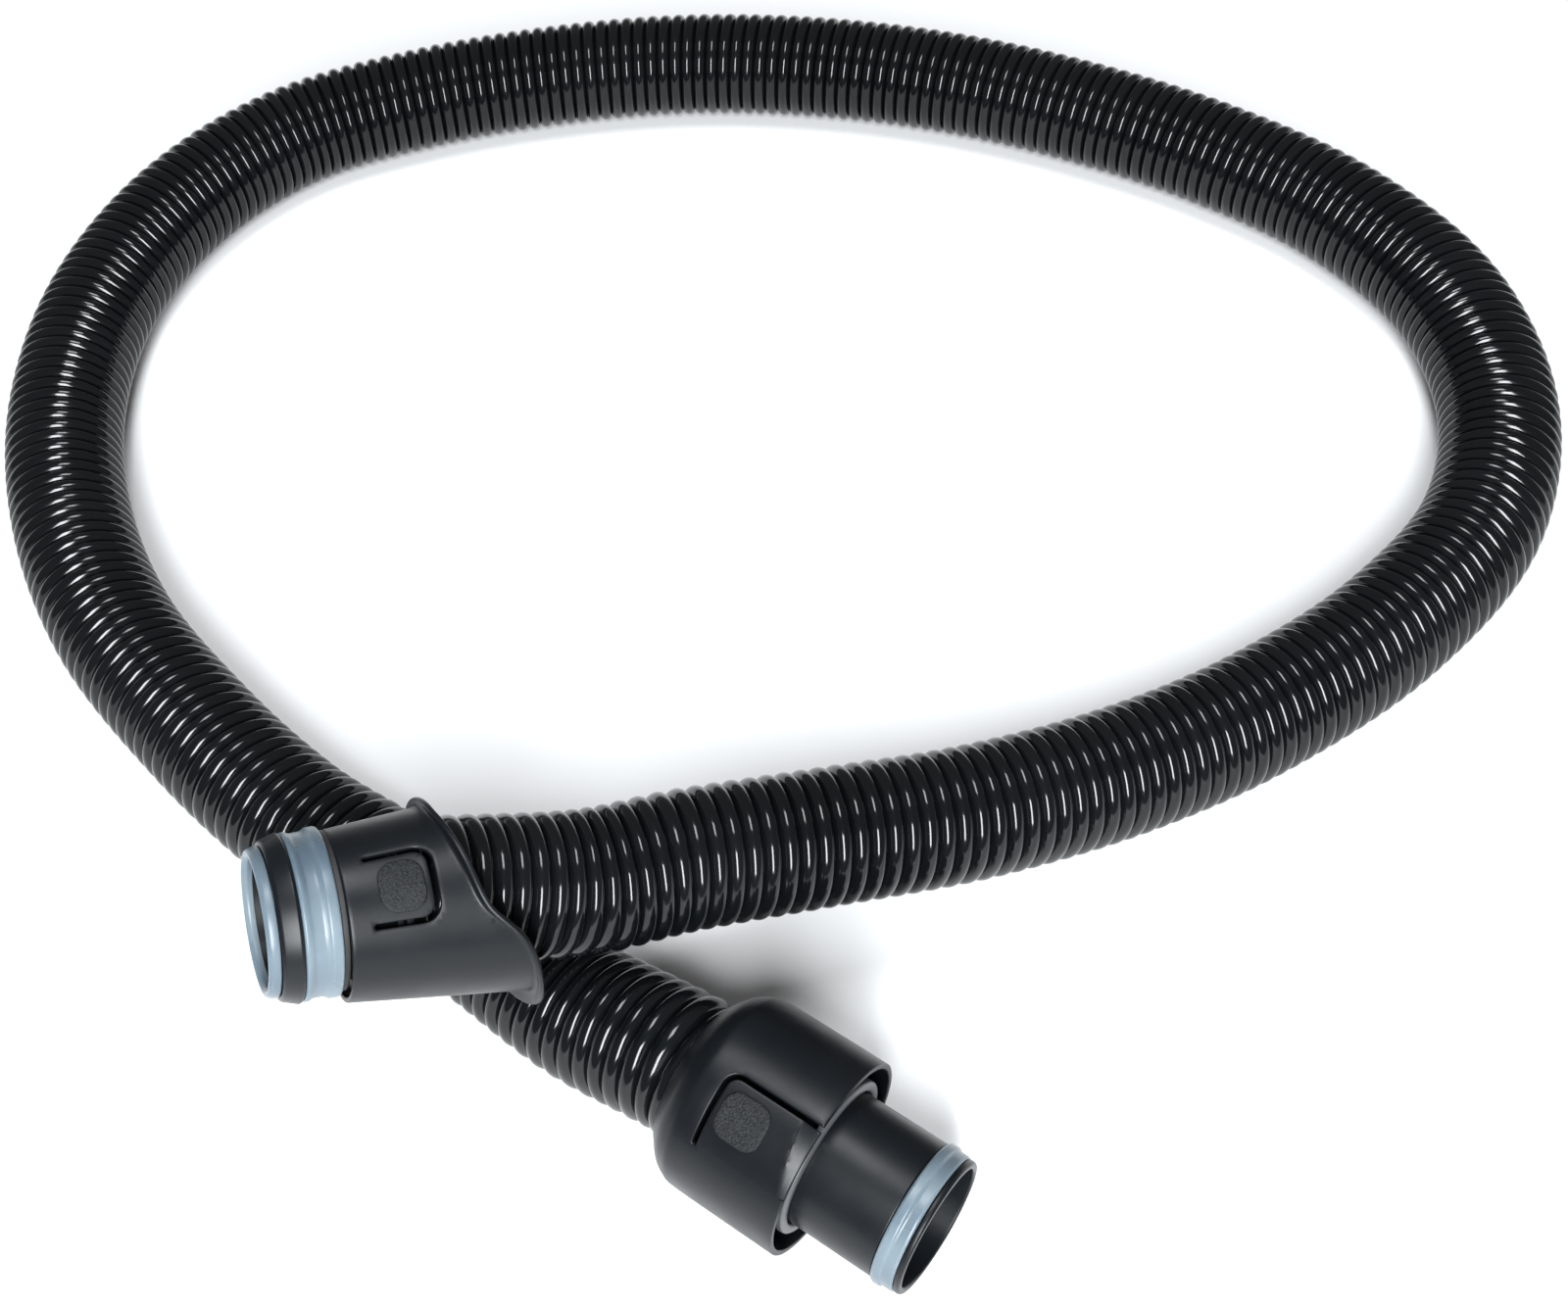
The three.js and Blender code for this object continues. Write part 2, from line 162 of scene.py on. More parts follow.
def satin_plastic():
    material, tree, shader = new_material(
        "satin_plastic", (0.0036, 0.0048, 0.0064), 0.37, Specular_IOR_Level=0.23,
    )
    vary_colour(tree, shader, noise(tree, 30, 5), (0.0028, 0.0039, 0.0055), (0.0045, 0.0058, 0.0075))
    vary_roughness(tree, shader, noise(tree, 90, 5), 0.33, 0.41)
    add_bump(tree, shader, noise(tree, 3600, 2), 0.25, 0.05)
    return material


def grained_plastic():
    material, tree, shader = new_material(
        "grained_plastic", (0.006, 0.0072, 0.0085), 0.6, Specular_IOR_Level=0.2,
    )
    vary_colour(tree, shader, noise(tree, 1800, 2), (0.0015, 0.0018, 0.0022), (0.018, 0.0205, 0.0235))
    add_bump(tree, shader, noise(tree, 1800, 2), 1, 0.24)
    return material


def flange_plastic():
    material, tree, shader = new_material("flange_plastic", (0.05, 0.053, 0.058), 0.42)
    vary_colour(tree, shader, noise(tree, 60), (0.043, 0.046, 0.05), (0.058, 0.061, 0.067))
    add_bump(tree, shader, noise(tree, 3200, 2), 0.2, 0.04)
    return material


def milky_silicone():
    material, tree, shader = new_material(
        "milky_silicone", (0.14, 0.195, 0.245), 0.32,
        Subsurface_Weight=0.5, Subsurface_Scale=0.004, Subsurface_Radius=(0.8, 1, 1.1),
        Transmission_Weight=0.25, IOR=1.42,
    )
    vary_colour(tree, shader, noise(tree, 45, 1), (0.095, 0.135, 0.175), (0.18, 0.23, 0.265))
    vary_roughness(tree, shader, noise(tree, 90, 1), 0.26, 0.38)
    add_bump(tree, shader, noise(tree, 350, 1), 0.08, 0.1)
    return material


def dark_rubber():
    material, tree, shader = new_material("dark_rubber", (0.012, 0.012, 0.013), 0.6)
    vary_colour(tree, shader, noise(tree, 300), (0.009, 0.009, 0.01), (0.016, 0.016, 0.017))
    add_bump(tree, shader, noise(tree, 1800, 3), 0.3, 0.05)
    return material


def cuff_plastic():
    material, tree, shader = new_material("cuff_plastic", (0.016, 0.017, 0.018), 0.45)
    vary_colour(tree, shader, noise(tree, 120), (0.012, 0.013, 0.014), (0.02, 0.021, 0.022))
    add_bump(tree, shader, noise(tree, 1500, 3), 0.2, 0.05)
    return material


FINISH = {
    "hose_black": hose_plastic(),
    "shell_grey": satin_plastic(),
    "pad_grain": grained_plastic(),
    "flange_grey": flange_plastic(),
    "seal_milky": milky_silicone(),
    "rubber_dark": dark_rubber(),
    "cuff_dark": cuff_plastic(),
}


# ---- Meshes -----------------------------------------------------------------------------
SIDES = 144                       # facets round a turned piece
CREASE = math.radians(48)         # sharper edges than this aren't smoothed over
WELD = 0.002                      # closer points than this become one
PLAIN_FILLET = 0.25               # for a turned piece that asks for none of its own
FILLET_SHARE = 0.45               # how much of a side the fillet at one end may take


def add_piece(name, points, faces, slot, nodes):
    """A piece from points in millimetres, standing for some CAD nodes."""
    mesh = bpy.data.meshes.new(name)
    mesh.from_pydata([Vector(point) * MM for point in points], [], faces)
    work = bmesh.new()
    work.from_mesh(mesh)
    bmesh.ops.remove_doubles(work, verts=work.verts, dist=WELD * MM)
    bmesh.ops.recalc_face_normals(work, faces=work.faces)
    for face in work.faces:
        face.smooth = True
    for edge in work.edges:
        edge.smooth = len(edge.link_faces) == 2 and edge.calc_face_angle(0) < CREASE
    work.to_mesh(mesh)
    work.free()
    mesh.materials.append(FINISH[slot])
    piece = bpy.data.objects.new(name, mesh)
    bpy.context.collection.objects.link(piece)
    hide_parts(*nodes)
    return piece


def on_axis(s, r, phi):
    """A point in a fitting's own coordinates."""
    return Vector((s, r * math.sin(math.radians(phi)), r * math.cos(math.radians(phi))))


def filleted(corners, radius, steps=4):
    """The outline with each corner rounded by up to that radius."""
    outline = []
    corners = [Vector(corner) for corner in corners]
    for i, corner in enumerate(corners):
        before = corners[i - 1] - corner
        after = corners[(i + 1) % len(corners)] - corner
        reach = min(radius, FILLET_SHARE * before.length, FILLET_SHARE * after.length)
        start = corner + before.normalized() * reach
        end = corner + after.normalized() * reach
        for k in range(steps + 1):
            t = k / steps
            outline.append(start * (1 - t) ** 2 + corner * 2 * t * (1 - t) + end * t ** 2)
    return outline


def turned_mesh(place, corners, fillet, first=0):
    """Points and faces of a ring about a fitting's axis. corners may change with phi."""
    turns = [360 * j / SIDES for j in range(SIDES)]
    rings = [filleted(corners(phi) if callable(corners) else corners, fillet) for phi in turns]
    count = len(rings[0])
    points = [place @ on_axis(s, r, phi) for phi, ring in zip(turns, rings) for s, r in ring]
    faces = [
        (
            first + j * count + i,
            first + j * count + (i + 1) % count,
            first + (j + 1) % SIDES * count + (i + 1) % count,
            first + (j + 1) % SIDES * count + i,
        )
        for j in range(SIDES) for i in range(count)
    ]
    return points, faces


def turned(name, place, corners, body, slot, fillet=PLAIN_FILLET):
    """A turned ring that stands for the CAD node of the same name."""
    points, faces = turned_mesh(place, corners, fillet)
    piece = add_piece(name + "_look", points, faces, slot, [name])
    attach(piece, body)


# ---- Curved plates ----------------------------------------------------------------------
# A plate is drawn flat, as loops of x and y, and then bent onto the face that it follows.
EDGE_STEP = 0.9                   # between the points of its outline
EDGE_ARC = 3                      # facets across a round edge
STRAIGHT = 0.02                   # a smaller turn than this isn't a corner
CLEARANCE = 0.35                  # from outline to grid points, in steps of the grid
FLAT_MERGE = 1e-5


def resampled(loop, step):
    """The loop with points added, so that no side is longer than the step."""
    points = []
    for i, corner in enumerate(loop):
        start, end = Vector(corner), Vector(loop[(i + 1) % len(loop)])
        parts = max(1, math.ceil((end - start).length / step))
        points += [start.lerp(end, k / parts) for k in range(parts)]
    return points


def shrunk(loop, distance, is_plain):
    """The loop moved to its left by distance, apart from the stretches that stay plain."""
    count = len(loop)
    moved = []
    for i, point in enumerate(loop):
        rules = []
        for a, b in ((loop[i - 1], point), (point, loop[(i + 1) % count])):
            along = (b - a).normalized()
            rules.append((Vector((-along.y, along.x)), 0 if is_plain(a, b) else distance))
        (m, d), (n, e) = rules
        turn = m.x * n.y - m.y * n.x
        if abs(turn) < STRAIGHT:
            moved.append(point + (m + n).normalized() * min(d, e))
        else:
            moved.append(point + Vector((d * n.y - e * m.y, e * m.x - d * n.x)) / turn)
    return moved


def inside(point, loops):
    """Whether a point is inside the outline and outside its holes."""
    crossings = 0
    for loop in loops:
        for i, b in enumerate(loop):
            a = loop[i - 1]
            if (a.y > point.y) != (b.y > point.y):
                if point.x < a.x + (b.x - a.x) * (point.y - a.y) / (b.y - a.y):
                    crossings += 1
    return crossings % 2 == 1


def filled(loops, across, along, creases):
    """Triangles that fill the loops, through a grid of points and along the creases."""
    points = [point for loop in loops for point in loop]
    near = KDTree(len(points))
    for i, point in enumerate(points):
        near.insert((*point, 0), i)
    near.balance()
    edges = []
    first = 0
    for loop in loops:
        edges += [(first + i, first + (i + 1) % len(loop)) for i in range(len(loop))]
        first += len(loop)
    for crease in creases:
        start = len(points)
        points += [Vector(point) for point in crease]
        edges += [(start + i, start + i + 1) for i in range(len(crease) - 1)]
    clear = CLEARANCE * (across[1] - across[0])
    for x in across:
        for y in along:
            point = Vector((x, y))
            if near.find((x, y, 0))[2] > clear and inside(point, loops):
                points.append(point)
    found, _, faces, _, _, _ = delaunay_2d_cdt(points, edges, [], 0, FLAT_MERGE)
    middles = [sum((found[i] for i in face), Vector((0, 0))) / 3 for face in faces]
    return found, [face for face, middle in zip(faces, middles) if inside(middle, loops)]


def plate_mesh(loops, bend, thickness, across, along, bevel, is_plain, creases=()):
    """A closed curved plate with round edges. bend(x, y, depth) gives the place of a point.

    is_plain(a, b) tells of a side of the outline whether it stays square, or "open" if it is
    to meet another side of the same plate.
    """
    loops = [resampled(loop, EDGE_STEP) for loop in loops]
    flat = [shrunk(loop, bevel, is_plain) for loop in loops]
    found, triangles = filled(flat, across, along, creases)
    points = [bend(p.x, p.y, 0) for p in found] + [bend(p.x, p.y, thickness) for p in found]
    faces = [tuple(face) for face in triangles]
    faces += [tuple(len(found) + i for i in reversed(face)) for face in triangles]
    turns = [math.pi / 2 * k / EDGE_ARC for k in range(EDGE_ARC + 1)]
    steps = [(bevel * (1 - math.sin(t)), bevel * (1 - math.cos(t))) for t in turns]
    steps += [(inset, thickness - depth) for inset, depth in reversed(steps)]
    for loop in loops:
        start = len(points)
        count = len(loop)
        for inset, depth in steps:
            points += [bend(p.x, p.y, depth) for p in shrunk(loop, inset, is_plain)]
        for j in range(len(steps) - 1):
            for i in range(count):
                k = (i + 1) % count
                if is_plain(loop[i], loop[k]) == "open":
                    continue
                a, b = start + j * count, start + (j + 1) * count
                faces.append((a + i, b + i, b + k, a + k))
    return points, faces


def both_at(a, b, axis, value):
    """Whether two points of an outline have the same value on one axis."""
    return abs(a[axis] - value) < NEAR and abs(b[axis] - value) < NEAR


def spread(start, end, step):
    """Even places from start to end, about a step apart."""
    parts = max(1, round(abs(end - start) / step))
    return [start + (end - start) * k / parts for k in range(parts + 1)]


def corner_arc(centre, radius, start, end, steps=7):
    """An arc from one angle to another, in degrees."""
    turns = [math.radians(start + (end - start) * k / steps) for k in range(steps + 1)]
    return [(centre[0] + radius * math.cos(t), centre[1] + radius * math.sin(t)) for t in turns]


def round_box(x0, x1, y0, y1, radius):
    """A rounded rectangle, anticlockwise."""
    return (
        corner_arc((x1 - radius, y0 + radius), radius, -90, 0)
        + corner_arc((x1 - radius, y1 - radius), radius, 0, 90)
        + corner_arc((x0 + radius, y1 - radius), radius, 90, 180)
        + corner_arc((x0 + radius, y0 + radius), radius, 180, 270)
    )


# ---- Hose -------------------------------------------------------------------------------
HOSE = {
    "diameter": 42, "crest": 21, "depth": 3.1, "flank": 80, "inner": 17.4, "pitch": 5.47,
    "wand_end": -40.7, "inlet_end": -38, "straight": 10, "rows": 12, "sides": 72, "step": 1,
}
CURVE_PARTS = 40                  # straight steps between two points of the route
# The hose's centre line, from the wand fitting round to the inlet fitting.
ROUTE = [
    (7, 13.7, 28.4), (-15, 30, 24), (-50, 62, 21.5), (-81.5, 85, 21.3), (-108, 105.5, 21.3),
    (-141, 140, 21.3), (-177, 187, 21.3), (-201, 240, 21.3), (-212, 296.5, 21.3), (-207, 355, 21.3),
    (-182.5, 409, 21.3), (-140.5, 449, 21.3), (-85.5, 469, 21.3), (-26.5, 478.5, 21.3),
    (31.5, 479.5, 21.3), (89.5, 470.5, 21.3), (146, 452.5, 21.3), (198.5, 426.5, 21.3),
    (247.5, 393.5, 21.3), (289.5, 353, 21.3), (317.5, 301.5, 21.3), (321, 243.5, 21.3),
    (300, 189.5, 21.3), (258, 148, 21.4), (208.5, 117.5, 23), (160.5, 95.5, 28.6),
    (110.5, 78.5, 37.8), (61.5, 66.5, 49), (21.5, 56.5, 59), (-8.5, 47, 67),
]


def hose_controls():
    """The route, with a short straight stretch at each end, in line with the fitting."""
    wand = [WAND @ Vector((HOSE["wand_end"] - step, 0, 0)) for step in (0, HOSE["straight"])]
    inlet = [INLET @ Vector((HOSE["inlet_end"] - step, 0, 0)) for step in (HOSE["straight"], 0)]
    return wand + [Vector(point) for point in ROUTE] + inlet


def smooth_line(points, parts):
    """A Catmull-Rom curve through the points, as many short straight steps."""
    ends = [2 * points[0] - points[1]] + points + [2 * points[-1] - points[-2]]
    line = []
    for p, a, b, q in zip(ends, ends[1:], ends[2:], ends[3:]):
        for k in range(parts):
            t = k / parts
            line.append(0.5 * (
                2 * a + (b - p) * t + (2 * p - 5 * a + 4 * b - q) * t ** 2
                + (3 * a - p - 3 * b + q) * t ** 3
            ))
    return line + [points[-1]]


def evenly(line, step):
    """Points at even distances along the line, the way and the up at each, and its length."""
    reach = [0]
    for a, b in zip(line, line[1:]):
        reach.append(reach[-1] + (b - a).length)
    count = round(reach[-1] / step)
    places = []
    j = 0
    for i in range(count + 1):
        want = reach[-1] * i / count
        while j < len(line) - 2 and reach[j + 1] < want:
            j += 1
        places.append(line[j].lerp(line[j + 1], (want - reach[j]) / (reach[j + 1] - reach[j])))
    ways = [(places[min(i + 1, count)] - places[max(i - 1, 0)]).normalized() for i in range(count + 1)]
    ups = [Vector((0, 0, 1))]
    for way in ways:
        up = ups[-1] - way * way.dot(ups[-1])
        ups.append(up.normalized())
    return places, ways, ups[1:], reach[-1]


def rib(row):
    """How many pitches along, and how far out, a row of points is.

    The crests are round and the valleys narrow.
    """
    turn, k = divmod(row, HOSE["rows"])
    flank = math.radians(HOSE["flank"])
    lean = flank * (2 * k / HOSE["rows"] - 1)
    pitches = turn + 0.5 * math.sin(lean) / math.sin(flank)
    return pitches, HOSE["crest"] - HOSE["depth"] * (1 - math.cos(lean))


def hose_points(centre_line, rows):
    """Rows of points that follow the spiral, first on the outside and then in the bore."""
    places, ways, ups, length = centre_line
    points = []
    for outside in (True, False):
        for row in range(rows):
            turn, radius = rib(row)
            for j in range(HOSE["sides"]):
                angle = 2 * math.pi * j / HOSE["sides"]
                along = HOSE["pitch"] * (turn - j / HOSE["sides"])
                reach = min(max(along, 0), length) / length * (len(places) - 1)
                i = min(int(reach), len(places) - 2)
                place = places[i].lerp(places[i + 1], reach - i)
                side = ways[i].cross(ups[i])
                out = ups[i] * math.cos(angle) + side * math.sin(angle)
                points.append(place + (radius if outside else HOSE["inner"]) * out)
    return points


def hose_faces(rows):
    """The outside, the bore and the two ends. The last column joins the first, one turn back."""
    sides, turn = HOSE["sides"], HOSE["rows"]
    faces = []
    for first in (0, rows):
        for row in range(rows - 1):
            start = (first + row) * sides
            faces += [(start + j, start + j + 1, start + sides + j + 1, start + sides + j)
                      for j in range(sides - 1)]
            last = start + sides - 1
            if row < turn:
                faces.append((last, first * sides, last + sides))
            else:
                joined = start - turn * sides
                faces.append((last, joined, joined + sides, last + sides))
    for row in (0, rows - 1):
        for j in range(sides - 1):
            a, b = row * sides + j, (rows + row) * sides + j
            faces.append((a, a + 1, b + 1, b))
    return faces


def add_hose():
    centre_line = evenly(smooth_line(hose_controls(), CURVE_PARTS), HOSE["step"])
    places, _, _, length = centre_line
    rows = HOSE["rows"] * (math.ceil(length / HOSE["pitch"]) + 2)
    points, faces = hose_points(centre_line, rows), hose_faces(rows)
    hose = add_piece("ribbed_hose", points, faces, "hose_black", ["hose_tube"])
    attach(hose, "hose")


# ---- Swivels ----------------------------------------------------------------------------
# The swivel's distances along the axis are from the rear of the fitting's spigot.
SPIGOT_REAR = {"wand": -36, "inlet": -33.3}
SWIVEL = {
    "sleeve": 16.7, "sleeve_inner": 15, "sleeve_front": 13, "sleeve_in_hose": 16.7,
    "flange": 20.6, "flange_front": 2.5, "flange_back": 4.4,
    "ring_front": 11.1, "ring_back": 9.5, "ring_inner": 16.2, "ring_outer": 17.6, "ring_fillet": 0.15,
    "groove": 15.9, "groove_play": 0.3,
    "seal_front": 0.3, "seal_back": 2.2, "seal_inner": 17, "seal_outer": 18.8, "seal_fillet": 0.5,
}


def box_profile(back, front, inner, outer):
    """The section of a plain ring."""
    return [(back, outer), (back, inner), (front, inner), (front, outer)]


def cuff_profile(rear):
    """A sleeve that goes into the hose at its rear, with a flange, and a groove for the ring."""
    w = SWIVEL
    back, front = rear - w["sleeve_in_hose"], rear + w["sleeve_front"]
    groove_back = rear + w["ring_back"] - w["groove_play"]
    groove_front = rear + w["ring_front"] + w["groove_play"]
    flange_back, flange_front = rear - w["flange_back"], rear - w["flange_front"]
    return [
        (back, w["sleeve"]), (back, w["sleeve_inner"]), (front, w["sleeve_inner"]), (front, w["sleeve"]),
        (groove_front, w["sleeve"]), (groove_front, w["groove"]),
        (groove_back, w["groove"]), (groove_back, w["sleeve"]),
        (flange_front, w["sleeve"]), (flange_front, w["flange"]),
        (flange_back, w["flange"]), (flange_back, w["sleeve"]),
    ]


def add_swivel(prefix, place, rear):
    """The cuff on the hose's end, and the ring and the seal between it and the spigot."""
    w = SWIVEL
    turned(f"{prefix}_hose_cuff", place, cuff_profile(rear), "hose", "cuff_dark")
    ring = box_profile(rear + w["ring_back"], rear + w["ring_front"], w["ring_inner"], w["ring_outer"])
    turned(f"{prefix}_retaining_ring", place, ring, "hose", "shell_grey", w["ring_fillet"])
    seal = box_profile(rear - w["seal_back"], rear - w["seal_front"], w["seal_inner"], w["seal_outer"])
    turned(f"{prefix}_swivel_seal", place, seal, "hose", "rubber_dark", w["seal_fillet"])


# ---- Wand fitting -----------------------------------------------------------------------
# The turned pieces: outline as (s, r), look and fillet.
WAND_TURNINGS = {
    "wand_spigot": ([
        (SPIGOT_REAR["wand"], 20.4), (SPIGOT_REAR["wand"], 17), (-26.8, 17), (-26.8, 18.1),
        (34.2, 18.1), (34.6, 18.5), (34.6, 19.8), (34, 20.25), (32.8, 20.3), (32.8, 19.3),
        (25.7, 19.3), (25.7, 20.4),
    ], "shell_grey", 0.4),
    "wand_tip_seal": ([
        (25.9, 19.6), (32.6, 19.6), (32.6, 20.3), (32, 20.65), (29.6, 20.65), (29.2, 20.8),
        (28.7, 21.25), (26.6, 21.3), (25.9, 20.8),
    ], "seal_milky", 0.35),
    "wand_flange_ring": ([
        (-3, 24.1), (-3, 20.8), (-1.1, 20.8), (-0.5, 21.4), (-0.4, 22.9), (-0.9, 23.9),
    ], "flange_grey", 0.7),
}


def add_turnings(place, turnings, body):
    """All turned pieces of one fitting."""
    for name, (corners, slot, fillet) in turnings.items():
        turned(name, place, corners, body, slot, fillet)


COLLAR_OUTLINE = [
    (0, 30.2), (-17, 30.2), (-34, 30.1), (-37.3, 29.5), (-40.6, 27.8), (-43.2, 25.2), (-45.6, 22.4),
]
COLLAR_PARTS = 12                 # straight steps between two points of its outline
# Grid steps are given as (across, along) the face. From the shoulder on, the steps are finer.
COLLAR = {
    "radius": 30.2, "wall": 1.8, "bevel": 0.4, "web": (-33.5, -31.5, 20.8, 28.8), "web_fillet": 0.2,
    "grid": (1.6, 3), "plain_to": 33, "shoulder_from": 34, "shoulder_step": 0.9,
}
# bend_reach, bend_at and middle place two points at the latch's root: bend_at back from the rim, in the
# middle of its wall, and bend_reach apart round the collar.
LATCH = {
    "root": -49.2, "free": -8.5, "rear": -28.4, "corner": 3.2, "slot": 1.4, "bevel": 0.35,
    "grid": (0.8, 0.9), "bend_at": 14, "bend_reach": 5, "middle": 0.9,
}
# The lead-in at the latch's front corner: three places as (s, phi), and how deep it goes.
NOTCH = {"slot_side": (-5.6, -9.4), "front": (-0.9, -9.2), "along": (-3.4, -33), "depth": 1.55}
NOTCH_CREASE = {"from_edge": 0.7, "from_slot": 0.1}


def measured(outline):
    """The outline as a function of the distance along it, with its normal, and its length."""
    line = smooth_line([Vector(point) for point in outline], COLLAR_PARTS)
    reach = [0]
    for a, b in zip(line, line[1:]):
        reach.append(reach[-1] + (b - a).length)

    def at(distance):
        distance = min(max(distance, 0), reach[-1])
        j = next(i for i in range(len(reach) - 1) if reach[i + 1] >= distance)
        part = (distance - reach[j]) / (reach[j + 1] - reach[j])
        before, after = [
            (line[min(k + 1, len(line) - 1)] - line[max(k - 1, 0)]).normalized() for k in (j, j + 1)
        ]
        way = before.lerp(after, part)
        return line[j].lerp(line[j + 1], part), Vector((way.y, -way.x)).normalized()

    return at, reach[-1]


collar_at, collar_length = measured(COLLAR_OUTLINE)


def notch_depth(x, y):
    """How far the lead-in at the latch's front corner cuts into the outer face."""
    (s0, p0), (s1, p1), (s2, p2) = NOTCH["slot_side"], NOTCH["front"], NOTCH["along"]
    scale = math.radians(COLLAR["radius"])
    a, b, c = Vector((p0 * scale, -s0)), Vector((p1 * scale, -s1)), Vector((p2 * scale, -s2))
    edge = c - a
    across = Vector((-edge.y, edge.x)).normalized()
    reach = (b - a).dot(across)
    share = (Vector((x, y)) - a).dot(across) / reach
    return NOTCH["depth"] * min(1, max(0, share))


def bend_collar(x, y, depth, notch=False):
    """x is the distance round the collar and y the distance back from its rim, along its face."""
    place, out = collar_at(y)
    if notch and depth < COLLAR["wall"] / 2:
        depth += notch_depth(x, y)
    s, r = place - out * depth
    return WAND @ on_axis(s, r, math.degrees(x / COLLAR["radius"]))


def round_collar(phi):
    """The distance round the collar that belongs to an angle."""
    return math.radians(phi) * COLLAR["radius"]


def latch_outline(grow):
    """The tongue's outline, or that of its window, clockwise from the rim at the hinge."""
    x0, x1 = round_collar(LATCH["root"]), round_collar(LATCH["free"]) + grow
    y1 = -LATCH["rear"]
    radius = LATCH["corner"] + grow
    arc = corner_arc((x1 - radius, y1 + grow - radius), radius, 90, 0)
    end = corner_arc((x0, y1 + grow / 2), grow / 2, 270, 90) if grow else [(x0, y1)]
    return [(x0, 0)] + end + arc + [(x1, 0)]


def add_wand_collar():
    """The collar, a plate that goes right round and joins itself at a seam, and its web."""
    half = math.pi * COLLAR["radius"]
    window = latch_outline(LATCH["slot"])
    loop = [(-half, 0)] + window + [(half, 0), (half, collar_length), (-half, collar_length)]
    hinge = round_collar(LATCH["root"])

    def is_plain(a, b):
        if both_at(a, b, 0, half) or both_at(a, b, 0, -half):
            return "open"
        return both_at(a, b, 0, hinge)

    across, along = COLLAR["grid"]
    rows = spread(0, COLLAR["plain_to"], along)
    rows += spread(COLLAR["shoulder_from"], collar_length, COLLAR["shoulder_step"])
    points, faces = plate_mesh(
        [loop], bend_collar, COLLAR["wall"], spread(-half, half, across), rows, COLLAR["bevel"], is_plain,
    )
    web = turned_mesh(WAND, box_profile(*COLLAR["web"]), COLLAR["web_fillet"], len(points))
    collar = add_piece(
        "wand_collar_look", points + web[0], faces + web[1], "shell_grey", ["wand_collar"],
    )
    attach(collar, "wand_fitting")


def add_wand_latch():
    """The tongue, whose root runs on into the collar, shaped onto the collar's face."""
    x0, x1 = round_collar(LATCH["root"]), round_collar(LATCH["free"])

    def is_plain(a, b):
        return both_at(a, b, 0, x0)

    def bend(x, y, depth):
        return bend_collar(x, y, depth, notch=True)

    crease = [
        (x1 - NOTCH_CREASE["from_edge"], NOTCH_CREASE["from_slot"] - NOTCH["slot_side"][0]),
        (round_collar(NOTCH["along"][1]), -NOTCH["along"][0]),
    ]
    across, along = LATCH["grid"]
    points, faces = plate_mesh(
        [latch_outline(0)[::-1]], bend, COLLAR["wall"], spread(x0, x1, across),
        spread(0, -LATCH["rear"], along), LATCH["bevel"], is_plain, [crease],
    )
    latch = add_piece("wand_latch_look", points, faces, "shell_grey", ["wand_latch"])
    start = bend_collar(x0, LATCH["bend_at"], LATCH["middle"]) * MM
    end = bend_collar(x0 + LATCH["bend_reach"], LATCH["bend_at"], LATCH["middle"]) * MM
    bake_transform(latch)


# ---- Grip pads --------------------------------------------------------------------------
# All pads stand out of their tongue by as much as "raise", and go into it by "sunk".
PAD_MAKE = {"raise": 0.75, "sunk": 0.3, "bevel": 0.5, "grid": (0.9, 1.1)}
WAND_PAD = {"phi": -26, "s": -19.5, "length": 14.6, "width": 13.4, "corner": 4.5}
INLET_PAD = {"s": -34.9, "length": 12, "width": 13.6, "corner": 4.6}


def add_pad(name, node, bend, pad, radius, body):
    """A raised grip pad: a rounded plate that stands on a latch tongue."""
    x, half = math.radians(pad["phi"]) * radius, pad["width"] / 2
    y, reach = -pad["s"], pad["length"] / 2
    loop = round_box(x - half, x + half, y - reach, y + reach, pad["corner"])
    height = PAD_MAKE["raise"]
    across, along = PAD_MAKE["grid"]
    points, faces = plate_mesh(
        [loop], lambda u, v, depth: bend(u, v, depth - height), height + PAD_MAKE["sunk"],
        spread(x - half, x + half, across), spread(y - reach, y + reach, along),
        PAD_MAKE["bevel"], lambda a, b: False,
    )
    piece = add_piece(name, points, faces, "pad_grain", [node])
    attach(piece, body)


# ---- Inlet fitting ----------------------------------------------------------------------
# Its shell is a cone that leans toward the tail, cut off slantwise and flared at the rear.
SHELL = {
    "front": -20.3, "radius": 23.3, "taper": 0.104, "wall": 1.5, "lean": 1.7, "lean_taper": 0.022,
    "tail": 117, "seam": -63, "flat": 24.5, "bevel": 0.5, "grid": (1.5, 1.3), "grid_to": 74,
    "lip": 2.6, "lip_tail": 1.5, "tail_half": 78, "tail_ease": 40, "lip_bend": 1.1, "lip_turn": 98,
    "lip_folds": (0, 0.45, 0.9, 1.4, 1.88), "edge_step": 0.8,
    "web": (-25, -23, 19.3), "web_fillet": 0.2, "web_in_wall": 0.6,
}
